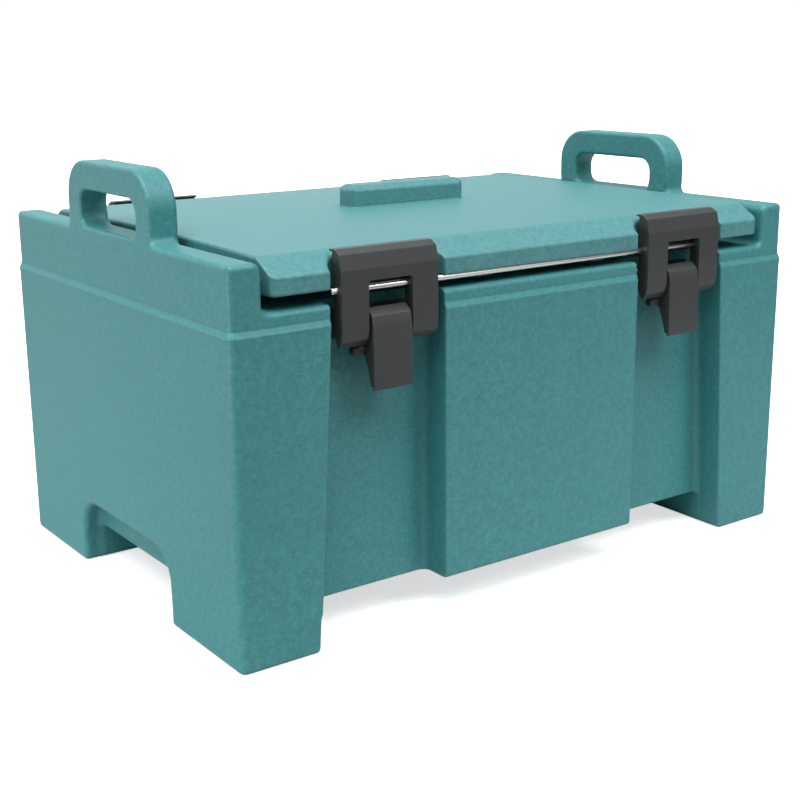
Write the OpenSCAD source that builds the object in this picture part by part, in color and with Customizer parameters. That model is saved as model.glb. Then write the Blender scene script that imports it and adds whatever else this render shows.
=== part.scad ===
// Insulated food carrier for one full-size food pan, top loading.
// Millimetres, +Z up. Origin: middle of the footprint, on the floor.
// X runs along the length, the front is -Y.

/* [Body] */
// Overall length at the ledge
body_l = 672; // [660:1:700]
// Overall width at the ledge
body_w = 464; // [460:1:480]
// Height of the four feet under the body
foot_h = 35; // [30:1:40]
// Height of the ledge round the body
ledge_z = 292; // [288:1:294]
// Height of the rim that the lid closes on
rim_z = 308; // [307:0.5:309]
// Height of the two end walls
tower_z = 350; // [346:0.5:352]
// Thickness of each end wall above the rim
tower_t = 30.5; // [24:0.5:31]
// How far the band above the ledge is set in
band_inset = 2.5; // [1.5:0.5:3.5]
// Corner radius of the body in plan
corner_r = 7; // [5:1:20]
// Thickness of the moulded skin
skin = 4; // [4:0.5:5]

/* [Cavity] */
// Length of the cavity below the pan ledge
cavity_l = 514; // [508:1:516]
// Width of the cavity below the pan ledge
cavity_w = 310; // [306:1:312]
// Height of the cavity floor
cavity_z = 86; // [80:1:110]
// Depth of the pan ledge below the rim
pan_ledge = 12; // [10:1:14]

/* [Latch recesses and feet] */
// Depth of the latch recesses and of the front panel's sides
recess_d = 33; // [32:0.5:33]
// Half width of the raised middle panel
panel_x = 119.5; // [118:0.5:122]
// Inner edge of the corner columns at the rim
column_x = 238; // [236:0.5:243]
// Inner edge of the corner columns at the floor
column_foot_x = 254; // [252:1:262]
// Half width of the arch under each end wall
arch_y = 97; // [90:1:104]
// Height of the arch under each end wall
arch_z = 68; // [60:1:74]
// Depth of the arch recess
arch_d = 19; // [15:1:24]
// Corner radius of the arch
arch_r = 30; // [20:1:40]

/* [Handles] */
// Half width of each loop handle
handle_y = 89; // [84:1:94]
// Height of the top of the handles
handle_z = 414.5; // [408:0.5:420]
// Thickness of the handles along the length
handle_t = 26; // [20:1:27]
// Half width of the finger opening
grip_y = 61; // [56:1:64]
// Underside of the handle bar
grip_top_z = 387; // [382:1:390]

/* [Lid] */
// Length of the lid
lid_l = 590; // [588:1:596]
// Width of the lid
lid_w = 460; // [456:1:462]
// Underside of the lid
lid_z = 320; // [319:0.5:321]
// Top of the lid's upright edge
lid_edge_z = 336; // [332:0.5:340]
// Top of the lid's sloping edge
lid_top_z = 350.5; // [349:0.5:352]
// Half width of the flat part of the lid
lid_flat_y = 206; // [200:1:208]
// Rise of the lid in the middle
lid_crown = 4; // [1:0.5:6]
// Half length of the raised grip bar
bar_x = 71.5; // [50:0.5:90]
// Height of the grip bar
bar_z = 378; // [368:0.5:380]

/* [Latches] */
// Distance of each latch from the middle
latch_x = 180; // [179:0.5:182]
// Width of each latch frame
frame_w = 101; // [96:0.5:104]
// Width of the window in each latch frame
window_w = 45.4; // [44:0.2:47]
// Width of each lever
lever_w = 41; // [36:0.5:42]
// Radius of the lid rods
rod_r = 3; // [2.5:0.1:3.2]
// Radius of the latch pins
pin_r = 2.5; // [2:0.1:2.8]
// Radial clearance of the pins in the levers
pin_clear = 0.05; // [0.02:0.01:0.1]

/* [Hidden] */
$fn = 96;
half_l = body_l / 2;
half_w = body_w / 2;
wall_y = half_w - recess_d;
band_x = half_l - band_inset;
band_y = half_w - band_inset;
tower_in = band_x - tower_t;
pan_z = rim_z - pan_ledge;
pan_x = cavity_l / 2 + 15;
pan_y = cavity_w / 2 + 14.5;
lid_hx = lid_l / 2;
lid_hy = lid_w / 2;
lid_wall_y = lid_hy - 19;
plug_z = rim_z - 4;
plug_x = pan_x - 5;
plug_y = pan_y - 5;
plate_y = half_w + 2;
pin_y = half_w - 8.5;
pin_z = 290;
rod_y = half_w - 7;
rod_z = 318;
hook_y = half_w - 15;
hook_z = 262;
hook_r = 5;
keeper_z = 271;
keeper_h = 27;
keeper_w = 84;
keeper_t = 3;

// Rounded rectangle centred on the origin, half sizes a and b
module round_rect(a, b, r) {
    square([2 * a - 2 * r, 2 * b], center = true);
    square([2 * a, 2 * b - 2 * r], center = true);
    for (i = [-1, 1]) {
        for (j = [-1, 1]) {
            translate([i * (a - r), j * (b - r)])
                circle(r = r);
        }
    }
}

// Box from one corner to the opposite one
module box(p, q) {
    translate(p)
        cube([q[0] - p[0], q[1] - p[1], q[2] - p[2]]);
}

// Extrudes a profile drawn in (Y, Z) along X from x0 to x1
module along_x(x0, x1) {
    translate([x0, 0, 0])
        rotate([90, 0, 90])
            linear_extrude(height = x1 - x0)
                children();
}

// Extrudes a profile drawn in (X, Z) along Y from y0 to y1
module along_y(y0, y1) {
    translate([0, y1, 0])
        rotate([90, 0, 0])
            linear_extrude(height = y1 - y0)
                children();
}

// Cylinder along X, centred on x = 0
module bar(r, half, y, z) {
    translate([-half, y, z])
        rotate([0, 90, 0])
            cylinder(r = r, h = 2 * half);
}

// Copies to both ends of the body
module both_ends() {
    for (a = [0, 180]) {
        rotate([0, 0, a])
            children();
    }
}

// Puts a latch piece drawn at the front middle in its place
module at_latch(side, end) {
    rotate([0, 0, side == "front" ? 0 : 180])
        translate([(side == "front" ? end : -end) * latch_x, 0, 0])
            children();
}

// Silhouette of the body from the front: end walls, rim and feet
module front_profile() {
    difference() {
        translate([-half_l, 0])
            square([body_l, tower_z]);
        translate([-tower_in + 6, rim_z])
            square([2 * tower_in - 12, 60]);
        translate([-tower_in, rim_z + 6])
            square([2 * tower_in, 60]);
        for (i = [-1, 1]) {
            translate([i * (tower_in - 6), rim_z + 6])
                circle(r = 6);
            translate([i * (tower_in + 5) - 5, tower_z - 10])
                difference() {
                    square([10, 11]);
                    translate([i > 0 ? 10 : 0, 0])
                        circle(r = 10);
                }
        }
    }
}

// Silhouette of one loop handle from the end, drawn in (Y, Z)
module handle_profile() {
    base = tower_z;
    difference() {
        union() {
            translate([-handle_y, base])
                square([2 * handle_y, handle_z - base - 36]);
            translate([-handle_y + 36, base])
                square([2 * handle_y - 72, handle_z - base]);
            for (i = [-1, 1]) {
                translate([i * (handle_y - 36), handle_z - 36])
                    circle(r = 36);
                translate([i * (handle_y + 4) - 4, tower_z])
                    difference() {
                        square([8, 8]);
                        translate([i > 0 ? 8 : 0, 8])
                            circle(r = 8);
                    }
            }
        }
        translate([0, (grip_top_z + tower_z + 2) / 2])
            round_rect(grip_y, (grip_top_z - tower_z - 2) / 2, 15);
        translate([-handle_y, tower_z - 40])
            square([2 * handle_y, 40]);
    }
}

// Arch under an end wall, drawn in (Y, Z)
module arch_profile() {
    translate([-arch_y, -1])
        square([2 * arch_y, arch_z - arch_r + 1]);
    translate([-arch_y + arch_r, -1])
        square([2 * arch_y - 2 * arch_r, arch_z + 1]);
    for (i = [-1, 1]) {
        translate([i * (arch_y - arch_r), arch_z - arch_r])
            circle(r = arch_r);
    }
}

// Outside of the body, solid
module body_outside() {
    difference() {
        intersection() {
            union() {
                linear_extrude(height = ledge_z)
                    round_rect(half_l, half_w, corner_r);
                translate([0, 0, ledge_z])
                    linear_extrude(height = tower_z - ledge_z)
                        round_rect(band_x, band_y, corner_r - band_inset);
            }
            along_y(-half_w - 1, half_w + 1)
                front_profile();
        }
        both_ends()
            for (i = [-1, 1])
                along_y(-half_w - 1, -wall_y)
                    polygon([[i * panel_x, foot_h - 1], [i * panel_x, rim_z + 1],
                        [i * column_x, rim_z + 1], [i * column_foot_x, foot_h - 1]]);
        box([-column_foot_x, -half_w - 1, -1], [column_foot_x, half_w + 1, foot_h]);
        box([-half_l + arch_d, -arch_y, -1], [half_l - arch_d, arch_y, foot_h]);
        both_ends()
            along_x(half_l - arch_d, half_l + 1)
                arch_profile();
    }
}

// Space for the pan: a deep cavity with a ledge for the pan's rim
module pan_space() {
    translate([0, 0, cavity_z])
        linear_extrude(height = rim_z)
            round_rect(cavity_l / 2, cavity_w / 2, 28);
    translate([0, 0, pan_z])
        linear_extrude(height = rim_z)
            round_rect(pan_x, pan_y, 34);
}

// Space between the skins, filled with foam
module foam_space() {
    fx = half_l - arch_d - skin;
    fy = wall_y - skin;
    top = rim_z - skin;
    difference() {
        union() {
            box([-fx, -fy, foot_h + skin], [fx, fy, top]);
            box([-panel_x + skin, -half_w + skin + 2, foot_h + skin],
                [panel_x - skin, half_w - skin - 2, top]);
            for (i = [-1, 1]) {
                for (j = [-1, 1]) {
                    box([i > 0 ? column_foot_x + skin : -half_l + skin + 3,
                        j > 0 ? arch_y + skin : -half_w + skin + 3, skin],
                        [i > 0 ? half_l - skin - 3 : -column_foot_x - skin,
                        j > 0 ? half_w - skin - 3 : -arch_y - skin, top]);
                }
                box([i > 0 ? tower_in + skin : -band_x + skin, -band_y + skin + 3, arch_z + skin],
                    [i > 0 ? band_x - skin : -tower_in - skin, band_y - skin - 3, tower_z - skin - 2]);
            }
        }
        liner_space();
        for (i = [-1, 1]) {
            for (j = [-1, 1]) {
                box([i * latch_x - keeper_w / 2 - 6, j > 0 ? wall_y - 14 : -wall_y - 1, keeper_z - 6],
                    [i * latch_x + keeper_w / 2 + 6, j > 0 ? wall_y + 1 : -wall_y + 14, keeper_z + keeper_h + 6]);
            }
            translate([i * 200, 0, foot_h])
                cylinder(r = 17, h = 12);
        }
    }
}

// Outside of the liner: the cavity and the pan ledge, a skin's thickness larger
module liner_space() {
    box([-cavity_l / 2 - skin, -cavity_w / 2 - skin, cavity_z - skin],
        [cavity_l / 2 + skin, cavity_w / 2 + skin, rim_z + 1]);
    box([-pan_x - skin, -pan_y - skin, pan_z - skin], [pan_x + skin, pan_y + skin, rim_z + 1]);
}

// Outer skin of the body up to the rim, with its feet and latch recesses
module body_shell() {
    color("CadetBlue")
        difference() {
            body_outside();
            box([-half_l, -half_w, rim_z], [half_l, half_w, tower_z + 1]);
            liner_space();
            foam_space();
            for (i = [-1, 1]) {
                translate([i * 200, 0, foot_h - 1])
                    cylinder(r = 12.1, h = 9);
                for (side = ["front", "rear"]) {
                    at_latch(side, i) {
                        box([-keeper_w / 2 - 0.2, -wall_y - 1, keeper_z - 0.2],
                            [keeper_w / 2 + 0.2, -wall_y + keeper_t + 0.1, keeper_z + keeper_h + 0.2]);
                        keeper_screw_set(0.05);
                    }
                }
            }
        }
}

// Inner skin: the cavity that holds the pan, up to the rim
module body_liner() {
    color("CadetBlue")
        difference() {
            liner_space();
            pan_space();
            box([-half_l, -half_w, rim_z], [half_l, half_w, rim_z + 2]);
        }
}

// End wall above the rim at one end
module end_wall(side) {
    color("CadetBlue")
        difference() {
            intersection() {
                body_outside();
                box([side > 0 ? tower_in - 3 : -half_l, -half_w, rim_z],
                    [side > 0 ? half_l : -tower_in + 3, half_w, tower_z + 1]);
            }
            foam_space();
        }
}

module end_wall_left() {
    end_wall(-1);
}

module end_wall_right() {
    end_wall(1);
}

// Loop handle on one end wall
module handle(side) {
    color("CadetBlue")
        rotate([0, 0, side > 0 ? 0 : 180])
            along_x(band_x - handle_t - 1, band_x - 1)
                handle_profile();
}

module handle_left() {
    handle(-1);
}

module handle_right() {
    handle(1);
}

// Rigid foam poured between the skins
module body_foam() {
    color("Khaki")
        foam_space();
}

// Round plugs that close the foam filling holes under the body
module body_plugs() {
    color("DarkSlateGray")
        for (i = [-1, 1])
            translate([i * 200, 0, foot_h + 0.2])
                cylinder(r = 12, h = 7.5);
}

// Four pan-head screws of one keeper, grown by g
module keeper_screw_set(g) {
    for (i = [-1, 1]) {
        for (j = [-1, 1]) {
            translate([i * 32, -wall_y + 0.3, keeper_z + keeper_h / 2 + j * 7])
                rotate([-90, 0, 0]) {
                    cylinder(r = 3.5 + g, h = 1.6);
                    cylinder(r = 1.75 + g, h = 12);
                }
        }
    }
}

// Black keeper let into the wall of one latch recess
module keeper() {
    difference() {
        union() {
            box([-keeper_w / 2, -wall_y, keeper_z], [keeper_w / 2, -wall_y + keeper_t, keeper_z + keeper_h]);
            along_x(-13.5, 13.5)
                polygon([[-wall_y + 1, keeper_z], [-hook_y - 1, hook_z + hook_r + 0.5],
                    [-hook_y - 3, hook_z + hook_r + 1.5], [-hook_y - 3, hook_z + hook_r + 4],
                    [-hook_y - 1, hook_z + hook_r + 5.5], [-wall_y + 1, keeper_z + 9]]);
        }
        keeper_screw_set(0.05);
    }
}

module keeper_front_left() {
    color("DimGray")
        at_latch("front", -1)
            keeper();
}

module keeper_front_right() {
    color("DimGray")
        at_latch("front", 1)
            keeper();
}

module keeper_rear_left() {
    color("DimGray")
        at_latch("rear", -1)
            keeper();
}

module keeper_rear_right() {
    color("DimGray")
        at_latch("rear", 1)
            keeper();
}

// Screws of all four keepers
module keeper_screws() {
    color("Silver")
        for (side = ["front", "rear"])
            for (i = [-1, 1])
                at_latch(side, i)
                    keeper_screw_set(0);
}

// Section of the lid across its width, drawn in (Y, Z)
module lid_profile() {
    crown = [for (i = [-6:6]) [i * lid_flat_y / 6, lid_top_z + lid_crown * (1 - i * i / 36)]];
    polygon(concat([[-lid_hy + 2, lid_z], [-lid_hy, lid_z + 2], [-lid_hy, lid_edge_z]], crown,
        [[lid_hy, lid_edge_z], [lid_hy, lid_z + 2], [lid_hy - 2, lid_z]]));
}

// Space inside the lid, filled with foam
module lid_space() {
    box([-lid_hx + skin, -lid_wall_y + skin, lid_z + skin], [lid_hx - skin, lid_wall_y - skin, lid_top_z - skin]);
    translate([0, 0, plug_z + skin])
        linear_extrude(height = lid_z - plug_z + 1)
            round_rect(plug_x - skin, plug_y - skin, 26);
}

// Lid skin with its plug, grip bar and latch recesses
module lid_shell() {
    color("CadetBlue")
        difference() {
            union() {
                intersection() {
                    along_x(-lid_hx, lid_hx)
                        lid_profile();
                    translate([0, 0, lid_z])
                        linear_extrude(height = 60)
                            round_rect(lid_hx, lid_hy, 6);
                }
                translate([0, 0, plug_z])
                    linear_extrude(height = lid_z - plug_z + 1)
                        round_rect(plug_x, plug_y, 30);
                translate([0, 0, lid_top_z])
                    linear_extrude(height = bar_z - lid_top_z)
                        round_rect(bar_x, 15, 8);
            }
            lid_space();
            for (i = [-1, 1]) {
                for (a = [0, 180]) {
                    rotate([0, 0, a])
                        translate([i * (panel_x + column_x) / 2, -lid_hy, lid_z - 1])
                            linear_extrude(height = 60)
                                round_rect((column_x - panel_x) / 2, lid_hy - lid_wall_y, 6);
                }
                translate([i * 200, 0, plug_z - 1])
                    cylinder(r = 12.1, h = skin + 1);
            }
            bar(rod_r + 0.1, 240, -rod_y, rod_z);
            bar(rod_r + 0.1, 240, rod_y, rod_z);
        }
}

// Rigid foam poured inside the lid
module lid_foam() {
    color("Khaki")
        difference() {
            lid_space();
            for (i = [-1, 1])
                translate([i * 200, 0, plug_z])
                    cylinder(r = 12.1, h = skin + 3);
        }
}

// Soft seal round the lid's plug, resting on the rim
module lid_gasket() {
    color("Gray")
        translate([0, 0, rim_z + 0.2])
            linear_extrude(height = lid_z - rim_z - 0.2)
                difference() {
                    round_rect(plug_x + 16, plug_y + 16, 44);
                    round_rect(plug_x + 0.1, plug_y + 0.1, 30.1);
                }
}

// Round plugs that close the foam filling holes under the lid
module lid_plugs() {
    color("DarkSlateGray")
        for (i = [-1, 1])
            translate([i * 200, 0, plug_z + 0.2])
                cylinder(r = 12, h = skin + 2);
}

// Stainless rod along the lid's lower front edge
module rod_front() {
    color("Silver")
        bar(rod_r, 236, -rod_y, rod_z);
}

// Stainless rod along the lid's lower rear edge
module rod_rear() {
    color("Silver")
        bar(rod_r, 236, rod_y, rod_z);
}

// Clips under the lid that hold the two rods
module rod_clips() {
    color("DimGray")
        both_ends()
            for (i = [-1, 1])
                translate([i * 70, 0, 0])
                    difference() {
                        box([-9, -rod_y - 1, rod_z - rod_r - 2], [9, -rod_y + 14, lid_z - 0.05]);
                        bar(rod_r + 0.05, 10, -rod_y, rod_z);
                        box([-10, -rod_y - 3, rod_z - 1], [10, -rod_y, lid_z + 1]);
                    }
}

// Section of a latch frame's outer face, drawn in (Y, Z)
module frame_face() {
    polygon([[-plate_y + 17.5, 353.4], [-plate_y + 9, 353.4], [-plate_y + 2.5, 348.5], [-plate_y, 337],
        [-plate_y, 283.5], [-plate_y + 2, 274], [-plate_y + 7, 268.6], [-plate_y + 9.5, 269.5],
        [-plate_y + 5.5, 275], [-plate_y + 3.6, 284], [-plate_y + 3.6, 336.5], [-plate_y + 5.5, 346.4],
        [-plate_y + 10, 350.2], [-plate_y + 17.5, 350.6]]);
}

// Section of a latch frame's side rib, drawn in (Y, Z)
module frame_rib() {
    difference() {
        polygon([[-plate_y + 15, 352], [-plate_y + 9, 352], [-plate_y + 1, 337], [-plate_y + 1, 283.5],
            [-plate_y + 3, 274], [-plate_y + 8, 269.5], [-plate_y + 14, 271], [-plate_y + 18, 282],
            [-plate_y + 18, 312], [-plate_y + 22.6, 319.5], [-plate_y + 22.6, 344]]);
        translate([-rod_y, rod_z])
            circle(r = rod_r + 0.05);
        translate([-pin_y, pin_z])
            circle(r = pin_r + 0.02);
    }
}

// Nylon latch frame: top flange, plate with a window, and two legs
module frame() {
    difference() {
        along_x(-frame_w / 2, frame_w / 2)
            frame_face();
        box([-window_w / 2, -half_w - 9, 260], [window_w / 2, -half_w + 12, 325]);
    }
    for (i = [-1, 1]) {
        along_x(i * (frame_w / 2 - 1.5) - 1.5, i * (frame_w / 2 - 1.5) + 1.5)
            frame_rib();
        along_x(i * (window_w / 2 + 2) - 2, i * (window_w / 2 + 2) + 2)
            frame_rib();
    }
}

module frame_front_left() {
    color("DimGray")
        at_latch("front", -1)
            frame();
}

module frame_front_right() {
    color("DimGray")
        at_latch("front", 1)
            frame();
}

module frame_rear_left() {
    color("DimGray")
        at_latch("rear", -1)
            frame();
}

module frame_rear_right() {
    color("DimGray")
        at_latch("rear", 1)
            frame();
}

// Stainless pin that joins a lever to its frame
module pin() {
    bar(pin_r, window_w / 2 + 5, -pin_y, pin_z);
}

module pin_front_left() {
    color("Silver")
        at_latch("front", -1)
            pin();
}

module pin_front_right() {
    color("Silver")
        at_latch("front", 1)
            pin();
}

module pin_rear_left() {
    color("Silver")
        at_latch("rear", -1)
            pin();
}

module pin_rear_right() {
    color("Silver")
        at_latch("rear", 1)
            pin();
}

// Latch lever: face, two ribs, and a cross bar that hooks under the keeper
module lever() {
    difference() {
        union() {
            along_x(-lever_w / 2, lever_w / 2)
                polygon([[-half_w + 6, 301], [-half_w - 2, 294.5], [-half_w - 4, 285], [-half_w - 5, 229],
                    [-half_w - 1.5, 229], [-half_w + 1.5, 283], [-half_w + 8, 284], [-half_w + 13, 287],
                    [-half_w + 14, 294]]);
            for (i = [-1, 1])
                along_x(i * (lever_w / 2 - 2) - 2, i * (lever_w / 2 - 2) + 2)
                    polygon([[-half_w - 2, 290], [-half_w - 2, 236], [-half_w + 12, 257],
                        [-half_w + 19.5, 264], [-half_w + 14, 288]]);
            bar(hook_r, 31, -hook_y, hook_z);
        }
        bar(pin_r + pin_clear, 40, -pin_y, pin_z);
    }
}

module lever_front_left() {
    color("DimGray")
        at_latch("front", -1)
            lever();
}

module lever_front_right() {
    color("DimGray")
        at_latch("front", 1)
            lever();
}

module lever_rear_left() {
    color("DimGray")
        at_latch("rear", -1)
            lever();
}

module lever_rear_right() {
    color("DimGray")
        at_latch("rear", 1)
            lever();
}

body_shell();
body_liner();
end_wall_left();
end_wall_right();
handle_left();
handle_right();
body_foam();
body_plugs();
keeper_front_left();
keeper_front_right();
keeper_rear_left();
keeper_rear_right();
keeper_screws();
lid_shell();
lid_foam();
lid_gasket();
lid_plugs();
rod_front();
rod_rear();
rod_clips();
frame_front_left();
frame_front_right();
frame_rear_left();
frame_rear_right();
pin_front_left();
pin_front_right();
pin_rear_left();
pin_rear_right();
lever_front_left();
lever_front_right();
lever_rear_left();
lever_rear_right();
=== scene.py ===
import math

import bmesh
import bpy
import numpy as np
from mathutils import Matrix, Vector


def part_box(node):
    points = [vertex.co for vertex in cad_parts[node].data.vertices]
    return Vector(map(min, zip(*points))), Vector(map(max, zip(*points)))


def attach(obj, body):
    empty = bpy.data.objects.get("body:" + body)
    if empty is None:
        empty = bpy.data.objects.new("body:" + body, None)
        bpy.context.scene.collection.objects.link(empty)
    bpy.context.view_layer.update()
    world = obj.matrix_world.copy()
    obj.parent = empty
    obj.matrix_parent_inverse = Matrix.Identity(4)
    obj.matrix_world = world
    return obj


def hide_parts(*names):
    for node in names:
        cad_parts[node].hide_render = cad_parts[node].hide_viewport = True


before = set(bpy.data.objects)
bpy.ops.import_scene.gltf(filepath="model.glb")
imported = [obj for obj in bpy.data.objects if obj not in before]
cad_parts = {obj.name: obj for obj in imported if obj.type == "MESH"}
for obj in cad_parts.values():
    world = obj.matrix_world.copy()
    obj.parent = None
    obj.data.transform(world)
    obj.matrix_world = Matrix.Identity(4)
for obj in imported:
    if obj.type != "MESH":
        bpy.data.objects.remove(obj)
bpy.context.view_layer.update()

bl_info = {
    "name": "Insulated Food Carrier",
    "version": (1, 0, 0),
    "blender": (4, 5, 0),
    "location": "View3D > Sidebar > Carrier",
    "description": "Builds the skins, latches, rods and seal of a food pan carrier round its CAD frame",
    "category": "Add Mesh",
}

MM = 0.001
CORNERS = ("front_left", "front_right", "rear_left", "rear_right")
BODY_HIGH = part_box("body_shell")[1]
WALL_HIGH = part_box("end_wall_right")[1]
HANDLE_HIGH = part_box("handle_right")[1]
LID_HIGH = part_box("lid_shell")[1]

# Lengths in millimetres that more than one piece depends on
PANEL_HALF = 119.5
COLUMN_TOP = 238.0
ROD_Y = 225.0
ROD_Z = 318.0
PIN_MIDDLE = (0, -223.5, 290)


# ---------------------------------------------------------------- sizes and colours

class BodySizes(bpy.types.PropertyGroup):
    half_length: bpy.props.FloatProperty(
        name="Half length", description="From the middle to the end wall at the ledge",
        default=BODY_HIGH.x, min=0.3, max=0.4, subtype="DISTANCE", unit="LENGTH")
    half_width: bpy.props.FloatProperty(
        name="Half width", description="From the middle to the front wall at the ledge",
        default=BODY_HIGH.y, min=0.2, max=0.3, subtype="DISTANCE", unit="LENGTH")
    rim_height: bpy.props.FloatProperty(
        name="Rim height", description="Top of the rim that the lid closes on, above the floor",
        default=BODY_HIGH.z, min=0.25, max=0.35, subtype="DISTANCE", unit="LENGTH")
    tower_height: bpy.props.FloatProperty(
        name="End wall height", description="Top of the two end walls above the floor",
        default=WALL_HIGH.z, min=0.3, max=0.4, subtype="DISTANCE", unit="LENGTH")
    handle_height: bpy.props.FloatProperty(
        name="Handle height", description="Top of the loop handles above the floor",
        default=HANDLE_HIGH.z, min=0.38, max=0.45, subtype="DISTANCE", unit="LENGTH")
    edge_round: bpy.props.FloatProperty(
        name="Edge rounding", description="Radius of the moulded outside edges",
        default=0.0048, min=0.002, max=0.009, subtype="DISTANCE", unit="LENGTH")


class LidSizes(bpy.types.PropertyGroup):
    half_length: bpy.props.FloatProperty(
        name="Half length", description="From the middle to the end of the lid",
        default=LID_HIGH.x, min=0.25, max=0.33, subtype="DISTANCE", unit="LENGTH")
    half_width: bpy.props.FloatProperty(
        name="Half width", description="From the middle to the front of the lid",
        default=LID_HIGH.y, min=0.2, max=0.26, subtype="DISTANCE", unit="LENGTH")
    bar_height: bpy.props.FloatProperty(
        name="Grip bar height", description="Top of the raised grip bar above the floor",
        default=LID_HIGH.z, min=0.35, max=0.4, subtype="DISTANCE", unit="LENGTH")
    crown: bpy.props.FloatProperty(
        name="Crown", description="How far the middle of the lid rises above its edges",
        default=0.004, min=0.0, max=0.008, subtype="DISTANCE", unit="LENGTH")


class FinishSettings(bpy.types.PropertyGroup):
    skin_colour: bpy.props.FloatVectorProperty(
        name="Skin colour", description="Colour of the moulded polyethylene",
        default=(0.058, 0.268, 0.278), size=3, min=0.0, max=1.0, subtype="COLOR")
    # The lid colour is the body colour made paler and whiter: it paints the sheen of the lit lid into its
    # colour.
    lid_colour: bpy.props.FloatVectorProperty(
        name="Lid colour", description="Colour of the lid, which is a little paler than the body",
        default=(0.086, 0.284, 0.296), size=3, min=0.0, max=1.0, subtype="COLOR")
    nylon_colour: bpy.props.FloatVectorProperty(
        name="Nylon colour", description="Colour of the latch frames, levers and keepers",
        default=(0.037, 0.043, 0.042), size=3, min=0.0, max=1.0, subtype="COLOR")
    steel_colour: bpy.props.FloatVectorProperty(
        name="Steel colour", description="Colour of the rods, pins and screws",
        default=(0.72, 0.70, 0.67), size=3, min=0.0, max=1.0, subtype="COLOR")
    nylon_round: bpy.props.FloatProperty(
        name="Nylon edge rounding", description="Radius of the edges of the moulded nylon parts",
        default=0.0007, min=0.0002, max=0.0012, subtype="DISTANCE", unit="LENGTH")


class StudioSettings(bpy.types.PropertyGroup):
    floor_colour: bpy.props.FloatVectorProperty(
        name="Floor colour", description="Colour of the plain studio floor",
        default=(0.88, 0.88, 0.88), size=3, min=0.0, max=1.0, subtype="COLOR")
    key_level: bpy.props.FloatProperty(
        name="Key light", description="Strength of the large soft light above and to the left",
        default=3.2, min=0.0, max=20.0)
    fill_level: bpy.props.FloatProperty(
        name="Fill", description="Brightness of the plain surroundings",
        default=0.13, min=0.0, max=3.0)


# ---------------------------------------------------------------- soft moulded shapes
# A moulding is described by a distance, negative inside and positive outside.
# Lengths in this section are millimetres.

def blend_in(a, b, r):
    """Keeps what is inside both, with an outside edge of radius r."""
    return np.minimum(-r, np.maximum(a, b)) + np.hypot(np.maximum(a + r, 0.0), np.maximum(b + r, 0.0))


def blend_join(a, b, r):
    """Joins two shapes, with an inside corner of radius r."""
    return -blend_in(-a, -b, r)


def blend_cut(a, b, r):
    """Cuts b out of a, with a rim of radius r."""
    return blend_in(a, -b, r)


def ramp(v, low, high):
    """Rises smoothly from 0 at low to 1 at high."""
    t = np.clip((v - low) / (high - low), 0.0, 1.0)
    return t * t * (3.0 - 2.0 * t)


def grid_lines(start, *stretches):
    """Grid lines from start through stretches of (end, spacing)."""
    at, out = start, [start]
    for end, step in stretches:
        n = max(1, int(round((end - at) / step)))
        out += [at + (end - at) * (i + 1) / n for i in range(n)]
        at = end
    return np.array(out)


def mirrored(line):
    """The lines and their mirror images about the middle."""
    return np.unique(np.concatenate([-line, line]))


def net_surface(shape, xs, ys, zs):
    """Vertices and quads of the surface where shape is zero, on a grid of uneven lines."""
    f = shape(xs[:, None, None], ys[None, :, None], zs[None, None, :])
    f = np.where(np.abs(f) < 1e-6, 1e-6, f)
    inside = f < 0
    cells = tuple(n - 1 for n in f.shape)
    total = np.zeros(cells + (3,))
    count = np.zeros(cells)
    axes = (xs, ys, zs)
    crossings = []
    for axis in range(3):
        low = [slice(None)] * 3
        high = [slice(None)] * 3
        low[axis], high[axis] = slice(0, -1), slice(1, None)
        f0, f1 = f[tuple(low)], f[tuple(high)]
        cross = inside[tuple(low)] != inside[tuple(high)]
        where = np.argwhere(cross)
        crossings.append((where, inside[tuple(low)][cross]))
        t = f0[cross] / (f0[cross] - f1[cross])
        point = np.stack([axes[i][where[:, i]] for i in range(3)], 1)
        line = axes[axis]
        point[:, axis] = line[where[:, axis]] * (1 - t) + line[where[:, axis] + 1] * t
        a, b = [i for i in range(3) if i != axis]
        for da in (0, 1):
            for db in (0, 1):
                cell = where.copy()
                cell[:, a] -= da
                cell[:, b] -= db
                ok = np.all((cell >= 0) & (cell < np.array(cells)), axis=1)
                index = tuple(cell[ok].T)
                np.add.at(total, index, point[ok])
                np.add.at(count, index, 1)
    live = count > 0
    number = np.full(cells, -1)
    number[live] = np.arange(int(live.sum()))
    verts = total[live] / count[live][:, None]
    quads = []
    for axis in range(3):
        where, leaves = crossings[axis]
        a, b = (axis + 1) % 3, (axis + 2) % 3
        ring = []
        for da, db in ((0, 0), (1, 0), (1, 1), (0, 1)):
            cell = where.copy()
            cell[:, a] -= da
            cell[:, b] -= db
            ring.append(number[tuple(cell.T)])
        ring = np.stack(ring, 1)
        ring[~leaves] = ring[~leaves][:, ::-1]
        quads.append(ring)
    return verts, np.concatenate(quads)


def slope(shape, p, h=0.05):
    """Direction in which the distance grows, at each point."""
    g = np.empty_like(p)
    for i in range(3):
        d = np.zeros(3)
        d[i] = h
        q0, q1 = p - d, p + d
        g[:, i] = (shape(q1[:, 0], q1[:, 1], q1[:, 2]) - shape(q0[:, 0], q0[:, 1], q0[:, 2])) / (2 * h)
    return g


def settle(shape, p, times):
    """Moves points onto the surface."""
    for _ in range(times):
        g = slope(shape, p)
        size = np.maximum(np.sum(g * g, 1), 0.3)
        f = shape(p[:, 0], p[:, 1], p[:, 2])
        p = p - g * (np.clip(f, -2.0, 2.0) / size)[:, None]
    return p


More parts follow.
